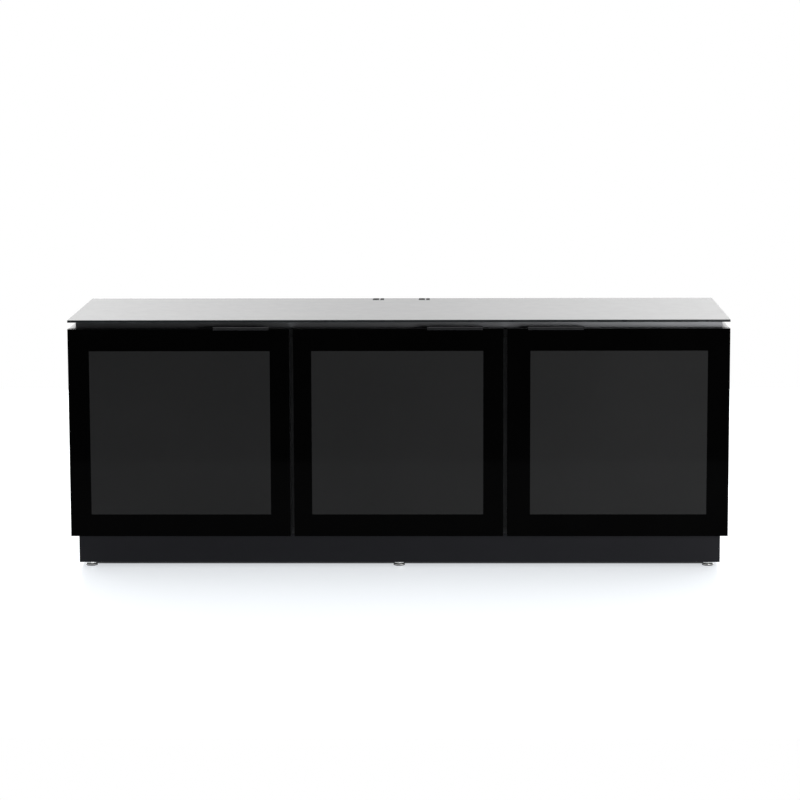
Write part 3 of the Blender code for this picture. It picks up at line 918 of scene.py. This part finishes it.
@dataclass
class Carcass(Part):
    """The boards, the shelves with their pins, and the back panels."""

    board_edge: float = 0.0006
    band_normal: float = 0.7
    pin_pitch: float = 0.032
    pin_count: int = 9
    pin_inset: float = 0.037
    sleeve_radius: float = 0.004
    sleeve_bore: float = 0.0026
    sleeve_height: float = 0.0006
    sleeve_lift: float = 0.00005
    shelf_clearance: float = 0.001
    pin_radius: float = 0.0025
    pin_reach: float = 0.009
    pin_tip: float = 0.001
    pin_sides: int = 20
    collar_width: float = 0.0014
    collar_start: float = 0.0008
    collar_end: float = 0.0022
    collar_slope: float = 0.0004
    outlet_width: float = 0.110
    outlet_height: float = 0.045
    outlet_lip: float = 0.0022
    outlet_overhang: float = 0.0006
    outlet_edge: float = 0.0004

    def bay(self, side: str) -> Spot:
        """Return how far to the side a bay's left and right wall are."""
        low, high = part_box(f"shelf_{side}")
        return low[0] - self.shelf_clearance, high[0] + self.shelf_clearance

    def build(self) -> None:
        """Dress the boards and build what goes on them."""
        self.dress("black_laminate", "top_deck", "bottom_deck", "carcass_side_left",
                   "carcass_side_right", "partition_left", "partition_right",
                   *(f"shelf_{side}" for side in SIDES))
        self.dress("black_backing", *(f"back_panel_{side}" for side in SIDES))
        for side in ENDS:
            self.add_side_board(side)
        self.add_sleeves()
        self.add_pins()
        self.add_outlet_trims()

    def add_side_board(self, side: str) -> None:
        """Build an outer board in satin lacquer, with a glossier band along its upper edge.

        Args:
            side: left or right.
        """
        low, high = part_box(f"side_panel_{side}")
        board = Shape().box(low, high).soften(self.board_edge, segments=2)
        materials = (self.palette["satin_lacquer"], self.palette["gloss_edge_band"])
        piece = board.piece(f"outer_board_{side}", materials,
                            lambda _, normal: int(normal.z > self.band_normal))
        self.place(piece, CABINET, f"side_panel_{side}")

    def pin_columns(self, side: str) -> Spot:
        """Return how far back the front and the back column of pins are."""
        low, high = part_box(f"shelf_{side}")
        return low[1] + self.pin_inset, high[1] - self.pin_inset

    def add_sleeves(self) -> None:
        """Line the pin holes on both walls of each bay."""
        tree = SleeveRowTree(self.palette["nickel"])
        half = self.pin_pitch * (self.pin_count - 1) / 2
        lift = self.sleeve_height / 2 + self.sleeve_lift
        for wall, (facing, inwards) in enumerate(((Facing.RIGHT, 1), (Facing.LEFT, -1))):
            places = []
            for side in SIDES:
                wall_x = self.bay(side)[wall] + inwards * lift
                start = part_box(f"shelf_{side}")[0][2] - self.pin_radius - half
                places += [(wall_x, y, start) for y in self.pin_columns(side)]
            tree.scatter(f"pin_hole_sleeves_{ENDS[wall]}", places, facing, CABINET, Count=self.pin_count,
                         Pitch=self.pin_pitch, Radius=self.sleeve_radius, Bore=self.sleeve_bore,
                         Height=self.sleeve_height)

    def add_pins(self) -> None:
        """Put four collared pins under each shelf."""
        radius, reach, tip = self.pin_radius, self.pin_reach, self.pin_tip
        collar = radius + self.collar_width
        profile = ((0, self.collar_start), (collar, self.collar_start), (collar, self.collar_end),
                   (radius, self.collar_end + self.collar_slope), (radius, reach - tip),
                   (radius - tip, reach), (0, reach))
        for side in SIDES:
            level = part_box(f"shelf_{side}")[0][2] - TOUCH - collar
            shape = Shape()
            for wall_x, facing in zip(self.bay(side), (Facing.RIGHT, Facing.LEFT)):
                for y in self.pin_columns(side):
                    shape.turned(profile, (wall_x, y, level), self.pin_sides, facing)
            self.place(shape.piece(f"shelf_pins_{side}", (self.palette["nickel"],)), CABINET)

    def add_outlet_trims(self) -> None:
        """Line each cable outlet with a thin plastic edging."""
        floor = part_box("bottom_deck")[1][2]
        bottom, top = floor + TOUCH, floor + self.outlet_height - TOUCH
        lip, overhang = self.outlet_lip, self.outlet_overhang
        for side in SIDES:
            low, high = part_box(f"back_panel_{side}")
            middle = (low[0] + high[0]) / 2
            half = self.outlet_width / 2 - TOUCH
            left, right = middle - half, middle + half
            outline = [(left, bottom), (left + lip, bottom), (left + lip, top - lip),
                       (right - lip, top - lip), (right - lip, bottom), (right, bottom),
                       (right, top), (left, top)]
            trim = Shape().prism(outline, low[1] - overhang, high[1] + overhang, Axis.Y)
            trim.soften(self.outlet_edge, segments=2)
            piece = trim.piece(f"cable_outlet_trim_{side}", (self.palette["black_plastic"],))
            self.place(piece, CABINET)


@dataclass
class Door(Part):
    """One door: its glass, its frame, its pull, and what is fixed to the frame."""

    side: str
    border_left: float
    border_right: float
    border_end: float = 0.055
    arris: float = 0.0004
    edge_normal: float = 0.99
    # How far to the right an arris facet must look before it takes the painted glint
    glint_arris_normal: float = 0.3
    pull_steps: int = 10
    pull_corner: float = 0.0004
    pull_back_corner: float = 0.0005
    pull_edge: float = 0.0003
    plate_size: Point = (0.030, 0.0012, 0.011)
    plate_gap: float = 0.0001
    plate_edge: float = 0.0003

    @property
    def body(self) -> str:
        """Return the body that the door's pieces ride on."""
        return f"door_{self.side}"

    def build(self) -> None:
        """Build the glass, the pull and the strike plate, and dress the frame and the hinges."""
        self.add_glass()
        self.add_pull()
        self.dress("black_laminate", f"door_frame_{self.side}")
        self.dress("blackened_steel", *(f"hinge_leaf_door_{self.side}_{level}" for level in LEVELS),
                   *(f"hinge_leaf_carcass_{self.side}_{level}" for level in LEVELS))
        self.add_strike()

    def add_glass(self) -> None:
        """Build the glass, with its black border and its smoked window."""
        low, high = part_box(f"door_glass_{self.side}")
        left, right = low[0] + self.border_left, high[0] - self.border_right
        bottom, top = low[2] + self.border_end, high[2] - self.border_end
        glass = Shape().box(low, high)
        for axis, place in ((Axis.X, left), (Axis.X, right), (Axis.Z, bottom), (Axis.Z, top)):
            glass.split(axis, place)
        glass.soften(self.arris, least_angle=60)

        def surface(middle: Vector, normal: Vector) -> int:
            """Choose a face's material.

            Args:
                middle: the face's middle.
                normal: the way that it looks.

            Returns:
                1 in the window, 2 on the polished edge and on the right-hand arris as a painted glint, 0
                on the border.
            """
            # The right-hand arris takes the lighter polished-edge finish as a painted glint of the light
            # on the right; the left-hand arris stays black
            if normal.x > self.glint_arris_normal:
                return 2
            if max(abs(normal.x), abs(normal.z)) > self.edge_normal:
                return 2
            return int(left < middle.x < right and bottom < middle.z < top)

        materials = [self.palette[name] for name in
                     ("black_enamel_glass", "smoked_glass", "polished_glass_edge")]
        piece = glass.piece(f"door_panel_{self.side}", materials, surface)
        self.place(piece, self.body, f"door_glass_{self.side}")

    def add_pull(self) -> None:
        """Build the pull that folds over the door's top edge."""
        low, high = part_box(f"door_pull_{self.side}")
        glass_low, glass_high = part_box(f"door_glass_{self.side}")
        lip_back, seat = glass_low[1] - TOUCH, glass_high[2] + TOUCH
        radius = high[2] - seat
        corner, back_corner = self.pull_corner, self.pull_back_corner
        outline = [(low[1], low[2] + corner), (low[1], seat)]
        bend = arc((0, 0), radius, 0, 90, self.pull_steps)
        outline += [(low[1] + radius - y, seat + z) for y, z in bend[1:]]
        outline += [(high[1] - back_corner, high[2]), (high[1], high[2] - back_corner), (high[1], seat),
                    (lip_back, seat), (lip_back, low[2] + corner), (lip_back - corner, low[2]),
                    (low[1] + corner, low[2])]
        pull = Shape().prism(outline, low[0], high[0], Axis.X)
        pull.soften(self.pull_edge, segments=2, least_angle=60)
        piece = pull.piece(f"edge_pull_{self.side}", (self.palette["pull_metal"],))
        self.place(piece, self.body, f"door_pull_{self.side}")

    def add_strike(self) -> None:
        """Add the steel plate that the magnetic catch pulls on."""
        catch_low, catch_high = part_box(f"magnetic_catch_{self.side}")
        _, frame_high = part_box(f"door_frame_{self.side}")
        middle = (catch_low + catch_high) / 2
        width, depth, height = self.plate_size
        back = frame_high[1]
        plate = Shape().box((middle[0] - width / 2, back + self.plate_gap, middle[2] - height / 2),
                            (middle[0] + width / 2, back + depth, middle[2] + height / 2))
        plate.soften(self.plate_edge, segments=2)
        piece = plate.piece(f"strike_plate_{self.side}", (self.palette["plated_steel"],))
        self.place(piece, self.body)


@dataclass
class Fittings(Part):
    """The small metalwork: catches, turn buttons, screws and bumpers."""

    screw_radius: float = 0.0032
    screw_height: float = 0.0012
    button_screw_radius: float = 0.004
    button_screw_height: float = 0.0016
    hinge_screw_rise: float = 0.017
    leaf_plate: float = 0.002
    carcass_leaf_shift: float = 0.004
    partition_leaf_face: float = 0.0047
    partition_leaf_inset: float = 0.014
    door_leaf_inset: float = 0.0045
    catch_screw_inset: float = 0.006
    magnet_half_size: Spot = (0.014, 0.0013)
    magnet_inset: float = 0.0035
    magnet_standout: float = 0.0008
    magnet_depth: float = 0.004
    magnet_edge: float = 0.0002
    button_steps: int = 8
    button_gap: float = 0.0001
    button_edge: float = 0.0005
    bumper_radius: float = 0.004
    bumper_height: float = 0.0016
    bumper_inset: float = 0.014
    middle_bumper_inset: float = 0.020
    bumper_rise: float = 0.026
    bumper_drop: float = 0.014

    def build(self) -> None:
        """Build every fitting."""
        self.add_buttons()
        self.add_catches()
        screws = ScrewTree(self.palette["nickel"])
        self.add_hinge_screws(screws)
        self.add_button_screws(screws)
        self.add_catch_screws(screws)
        self.add_bumpers()

    def add_buttons(self) -> None:
        """Build the turn buttons with round ends."""
        for side in SIDES:
            low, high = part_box(f"turn_button_{side}")
            radius = (high[0] - low[0]) / 2 - self.button_gap
            outline = rounded_rectangle((low[0], low[2]), (high[0], high[2]), radius, self.button_steps)
            shape = Shape().prism(outline, low[1], high[1], Axis.Y)
            shape.soften(self.button_edge, segments=2, least_angle=60)
            piece = shape.piece(f"turn_button_plate_{side}", (self.palette["dark_zinc"],))
            self.place(piece, f"turn_button_{side}", f"turn_button_{side}")

    def add_catches(self) -> None:
        """Dress each catch's housing and set its two magnets in the front."""
        half_width, half_height = self.magnet_half_size
        for side in SIDES:
            self.dress("black_plastic", f"magnetic_catch_{side}")
            low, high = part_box(f"magnetic_catch_{side}")
            middle = (low[0] + high[0]) / 2
            front, back = low[1] - self.magnet_standout, low[1] + self.magnet_depth
            shape = Shape()
            for z in (low[2] + self.magnet_inset, high[2] - self.magnet_inset):
                shape.box((middle - half_width, front, z - half_height),
                          (middle + half_width, back, z + half_height))
            shape.soften(self.magnet_edge, segments=1)
            piece = shape.piece(f"catch_magnets_{side}", (self.palette["magnet"],))
            self.place(piece, CABINET)

    def leaf_levels(self, side: str, level: str) -> Spot:
        """Return how high the two screws in a hinge's leaves are.

        Args:
            side: left, middle or right.
            level: lower or upper.

        Returns:
            The lower and the upper screw's height.
        """
        low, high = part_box(f"hinge_leaf_carcass_{side}_{level}")
        middle = (low[2] + high[2]) / 2
        return middle - self.hinge_screw_rise, middle + self.hinge_screw_rise

    def carcass_leaf_screws(self, side: str) -> list[Point]:
        """Return where the screws in a door's two carcass leaves go.

        Args:
            side: left, middle or right.

        Returns:
            The places. Only the middle door's leaves lie on the wall of a partition.
        """
        out = self.screw_height / 2
        places = []
        for level in LEVELS:
            low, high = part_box(f"hinge_leaf_carcass_{side}_{level}")
            shift = -self.carcass_leaf_shift if side == "right" else self.carcass_leaf_shift
            for z in self.leaf_levels(side, level):
                if side == "middle":
                    place = (low[0] + self.partition_leaf_face + out,
                             high[1] - self.partition_leaf_inset, z)
                else:
                    place = ((low[0] + high[0]) / 2 + shift, high[1] - self.leaf_plate - out, z)
                places.append(place)
        return places

    def door_leaf_screws(self, side: str) -> list[Point]:
        """Return where the screws in a door's two door leaves go.

        Args:
            side: left, middle or right.

        Returns:
            The places.
        """
        reach = self.leaf_plate + self.screw_height / 2
        places = []
        for level in LEVELS:
            low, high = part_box(f"hinge_leaf_door_{side}_{level}")
            wall = low[0] + reach if side == "right" else high[0] - reach
            places += [(wall, high[1] - self.door_leaf_inset, z) for z in self.leaf_levels(side, level)]
        return places

    def add_hinge_screws(self, screws: ScrewTree) -> None:
        """Put two screws in each leaf of each hinge.

        Args:
            screws: the tree that makes them.
        """
        sizes = {"Radius": self.screw_radius, "Height": self.screw_height}
        for side in SIDES:
            facing = Facing.RIGHT if side == "right" else Facing.LEFT
            screws.scatter(f"hinge_screws_door_{side}", self.door_leaf_screws(side), facing,
                           f"door_{side}", **sizes)
        outer = [place for side in ENDS for place in self.carcass_leaf_screws(side)]
        screws.scatter("hinge_screws_carcass", outer, Facing.FRONT, CABINET, **sizes)
        screws.scatter("hinge_screws_partition", self.carcass_leaf_screws("middle"), Facing.RIGHT,
                       CABINET, **sizes)

    def add_button_screws(self, screws: ScrewTree) -> None:
        """Put the pivot screw in each turn button.

        Args:
            screws: the tree that makes them.
        """
        for side in SIDES:
            low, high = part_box(f"turn_button_{side}")
            middle = (low[0] + high[0]) / 2
            place = (middle, high[1] + self.button_screw_height / 2, high[2] - (high[0] - low[0]) / 2)
            screws.scatter(f"turn_button_screw_{side}", [place], Facing.BACK, f"turn_button_{side}",
                           Radius=self.button_screw_radius, Height=self.button_screw_height)

    def add_catch_screws(self, screws: ScrewTree) -> None:
        """Put two screws up through the underside of each catch.

        Args:
            screws: the tree that makes them.
        """
        places = []
        for side in SIDES:
            low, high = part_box(f"magnetic_catch_{side}")
            for x in (low[0] + self.catch_screw_inset, high[0] - self.catch_screw_inset):
                places.append((x, (low[1] + high[1]) / 2, low[2] - self.screw_height / 2))
        screws.scatter("catch_screws", places, Facing.DOWN, CABINET, Radius=self.screw_radius,
                       Height=self.screw_height)

    def add_bumpers(self) -> None:
        """Put a soft bumper behind the two free corners of each door."""
        tree = BumperTree(self.palette["clear_silicone"])
        for side in SIDES:
            low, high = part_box(f"door_frame_{side}")
            inset = self.middle_bumper_inset if side == "middle" else self.bumper_inset
            x = low[0] + inset if side == "right" else high[0] - inset
            places = [(x, high[1] + self.bumper_height / 2, z)
                      for z in (low[2] + self.bumper_rise, high[2] - self.bumper_drop)]
            tree.scatter(f"door_bumpers_{side}", places, Facing.BACK, f"door_{side}",
                         Radius=self.bumper_radius, Height=self.bumper_height)


@dataclass
class Base(Part):
    """The plinth and its levelling feet."""

    sides: int = 40
    sole_height: float = 0.0016
    sole_corner: float = 0.0006
    pad_height: float = 0.0046
    pad_gap: float = 0.0001
    pad_inset: float = 0.0004
    pad_curl: float = 0.0018
    pad_curl_angle: float = 80.0
    pad_curl_steps: int = 5
    stem_radius: float = 0.0048
    stem_collar: float = 0.0018
    collar_rise: float = 0.0003
    thread_pitch: float = 0.00125
    thread_depth: float = 0.0006
    nut_radius: float = 0.0125
    nut_height: float = 0.0036
    nut_gap: float = 0.0002
    nut_edge: float = 0.0004

    def build(self) -> None:
        """Dress the plinth and build the feet."""
        self.dress("satin_lacquer", "plinth_front", "plinth_back", "plinth_left", "plinth_right")
        for row in ROWS:
            for side in SIDES:
                self.add_foot(row, side)

    def sole_profile(self, radius: float) -> list[Spot]:
        """Return the outline of a foot's rubber sole, from the axis back to the axis."""
        corner, top = self.sole_corner, self.sole_height
        return [(0, 0), (radius - corner, 0), (radius, corner), (radius, top), (0, top)]

    def stem_profile(self, radius: float, height: float) -> list[Spot]:
        """Return the outline of a foot's pad and threaded stem.

        Args:
            radius: the pad's radius.
            height: the foot's height.

        Returns:
            The points, from the axis back to the axis.
        """
        seat = self.sole_height + self.pad_gap
        crest, root = self.stem_radius, self.stem_radius - self.thread_depth
        curl_center = (radius - self.pad_inset - self.pad_curl, self.pad_height - self.pad_curl)
        profile = [(0, seat), (radius - self.sole_corner, seat)]
        profile += arc(curl_center, self.pad_curl, 0, self.pad_curl_angle, self.pad_curl_steps)
        profile += [(crest + self.stem_collar, self.pad_height),
                    (crest, self.pad_height + self.collar_rise)]
        z = self.pad_height + self.thread_pitch / 2
        while z < height - 2 * self.thread_pitch:
            profile += [(crest, z), (root, z + self.thread_pitch / 2)]
            z += self.thread_pitch
        return profile + [(root, height - self.thread_depth), (0, height - self.thread_depth)]

    def add_foot(self, row: str, side: str) -> None:
        """Build one foot: a rubber sole, a pad with a threaded stem, and its lock nut.

        Args:
            row: front or back.
            side: left, middle or right.
        """
        node, body = f"levelling_foot_{row}_{side}", f"foot_{row}_{side}"
        low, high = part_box(node)
        center = ((low[0] + high[0]) / 2, (low[1] + high[1]) / 2, low[2])
        radius = (high[0] - low[0]) / 2
        sole = Shape().turned(self.sole_profile(radius), center, self.sides)
        self.place(sole.piece(f"foot_sole_{row}_{side}", (self.palette["rubber"],)), body)
        stem = Shape().turned(self.stem_profile(radius, high[2] - low[2]), center, self.sides)
        self.place(stem.piece(f"foot_stem_{row}_{side}", (self.palette["nickel"],)), body, node)
        hexagon = arc(center[:2], self.nut_radius, 30, 330, 5)
        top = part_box(f"plinth_{row}")[0][2] - self.nut_gap
        nut = Shape().prism(hexagon, top - self.nut_height, top, Axis.Z)
        nut.soften(self.nut_edge, segments=2)
        self.place(nut.piece(f"foot_nut_{row}_{side}", (self.palette["plated_steel"],)), CABINET)


# ---------------------------------------------------------------------------------------------
# Studio
# ---------------------------------------------------------------------------------------------


@dataclass(frozen=True)
class Softbox:
    """A rectangular soft light, with its power in watts."""

    name: str
    place: Point
    aim: Point
    width: float
    height: float
    power: float

    def build(self) -> None:
        """Put the light up, facing its aim."""
        data = bpy.data.lights.new(self.name, "AREA")
        data.shape = "RECTANGLE"
        data.size, data.size_y = self.width, self.height
        data.energy = self.power
        light = bpy.data.objects.new(self.name, data)
        bpy.context.scene.collection.objects.link(light)
        light.location = self.place
        direction = Vector(self.aim) - Vector(self.place)
        light.rotation_euler = direction.to_track_quat("-Z", "Y").to_euler()


@dataclass
class Studio:
    """The pale floor, the soft lights and the camera, whose angles are in degrees."""

    eye: Point = (0.1249, -7.3150, 1.4198)
    turn: float = 0.982
    pitch: float = 8.046
    roll: float = -0.187
    lens: float = 130.204
    sensor: float = 36.0
    far_limit: float = 200.0
    floor_half: float = 3.0
    floor_front: float = -1.9
    # The floor under the plinth, inset this far, glows only this much: a painted contact shadow
    shade_inset: float = 0.032
    shade_glow: float = 0.12
    floor_finish: Finish = Finish(
        "pale_floor", (0.346, 0.357, 0.369), 0.3, specular=0.35, color_spread=0.004,
        roughness_spread=0.01, smudge_scale=2.0, grain_depth=0.0, glow=1.76)
    sky_front: float = 0.02
    sky_back: float = 1.42
    sky_flanks: float = 2.56
    sky_sides: float = 0.9
    sky_seen: float = 1.0
    sky_dip: float = -0.02
    flank_range: Spot = (0.0, 0.3)
    side_range: Spot = (0.35, 0.7)
    front_range: Spot = (-0.45, 0.25)
    lights: tuple[Softbox, ...] = (
        Softbox("overhead_softbox", (0.0, 0.2, 4.2), (0.0, 0.2, 0.0), 8.0, 6.0, 160.0),
        Softbox("back_left_softbox", (-3.4, 4.5, 1.8), (-0.6, 0.0, 0.6), 2.4, 2.0, 60.0),
        Softbox("back_right_softbox", (3.2, 4.5, 1.8), (0.6, 0.0, 0.6), 2.4, 2.0, 60.0),
        Softbox("right_softbox", (1.6, -1.8, 0.55), (0.6, 0.0, 0.45), 0.8, 0.6, 12.5),
    )

    def build(self) -> None:
        """Build the studio."""
        bpy.context.scene.view_settings.view_transform = "Standard"
        self.add_world()
        self.add_floor()
        for light in self.lights:
            light.build()
        self.add_camera()

    def add_camera(self) -> None:
        """Stand the camera in front of the cabinet."""
        data = bpy.data.cameras.new("camera")
        data.sensor_width = self.sensor
        data.lens = self.lens
        data.clip_end = self.far_limit
        camera = bpy.data.objects.new("camera", data)
        bpy.context.scene.collection.objects.link(camera)
        camera.location = self.eye
        look = Euler((math.radians(90 - self.pitch), 0, math.radians(self.turn))).to_matrix()
        tilt = Matrix.Rotation(math.radians(self.roll), 3, "Z")
        camera.rotation_euler = (look @ tilt).to_euler()
        bpy.context.scene.camera = camera

    def add_world(self) -> None:
        """Light the scene from all round: dim in front, bright behind, brightest at its two flanks."""
        world = bpy.data.worlds.new("studio")
        world.use_nodes = True
        tree = world.node_tree
        direction = tree.nodes.new("ShaderNodeTexCoord")
        split = tree.nodes.new("ShaderNodeSeparateXYZ")
        shifted = tree.nodes.new("ShaderNodeMath")
        shifted.operation = "SUBTRACT"
        shifted.inputs[1].default_value = self.sky_dip
        sideways = tree.nodes.new("ShaderNodeMath")
        sideways.operation = "ABSOLUTE"
        path = tree.nodes.new("ShaderNodeLightPath")
        tree.links.new(direction.outputs["Generated"], split.inputs["Vector"])
        tree.links.new(split.outputs["X"], shifted.inputs[0])
        tree.links.new(shifted.outputs["Value"], sideways.inputs[0])
        offset = sideways.outputs["Value"]
        rising = spread(tree, offset, self.flank_range, (self.sky_back, self.sky_back * self.sky_flanks))
        behind = spread(tree, offset, self.side_range, (rising, self.sky_sides))
        around = spread(tree, split.outputs["Y"], self.front_range, (self.sky_front, behind))
        seen = spread(tree, path.outputs["Is Camera Ray"], (0.0, 1.0), (around, self.sky_seen))
        background = tree.nodes["Background"]
        background.inputs["Color"].default_value = (1.0, 1.0, 1.0, 1.0)
        tree.links.new(seen, background.inputs["Strength"])
        bpy.context.scene.world = world

    def add_floor(self) -> None:
        """Lay the plain pale floor, which glows softly all round the plinth; under the plinth its glow
        drops to a painted contact shadow.
        """
        reach, near = self.floor_half, self.floor_front
        floor = Shape()
        corners = [floor.mesh.verts.new(place) for place in
                   ((-reach, near, 0), (reach, near, 0), (reach, reach, 0), (-reach, reach, 0))]
        floor.mesh.faces.new(corners)
        left, front = (side + self.shade_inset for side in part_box("plinth_front")[0][:2])
        right, back = (side - self.shade_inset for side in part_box("plinth_back")[1][:2])
        for axis, place in ((Axis.X, left), (Axis.X, right), (Axis.Y, front), (Axis.Y, back)):
            floor.split(axis, place)

        def shaded(middle: Vector, _: Vector) -> int:
            """Return 1 in the painted shadow under the plinth and 0 elsewhere."""
            return int(left < middle.x < right and front < middle.y < back)

        # The patch under the plinth is a copy of the floor with less glow: a painted contact shadow
        lit = self.floor_finish
        painted_shadow_finish = replace(lit, name="pale_floor_painted_shadow", glow=self.shade_glow)
        floor.piece("floor", (lit.material(), painted_shadow_finish.material()), shaded)


def main() -> None:
    """Build the cabinet's looks."""
    logging.basicConfig(level=logging.INFO, format="%(name)s %(message)s")
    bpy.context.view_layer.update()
    Studio().build()
    palette = Palette()
    parts: list[Part] = [Top(palette), Carcass(palette), Base(palette)]
    parts += [Door(palette, "left", border_left=0.0522, border_right=0.0490),
              Door(palette, "middle", border_left=0.0445, border_right=0.0500),
              Door(palette, "right", border_left=0.0570, border_right=0.0545),
              Fittings(palette)]
    for part in parts:
        part.build()


if __name__ == "__main__":
    main()
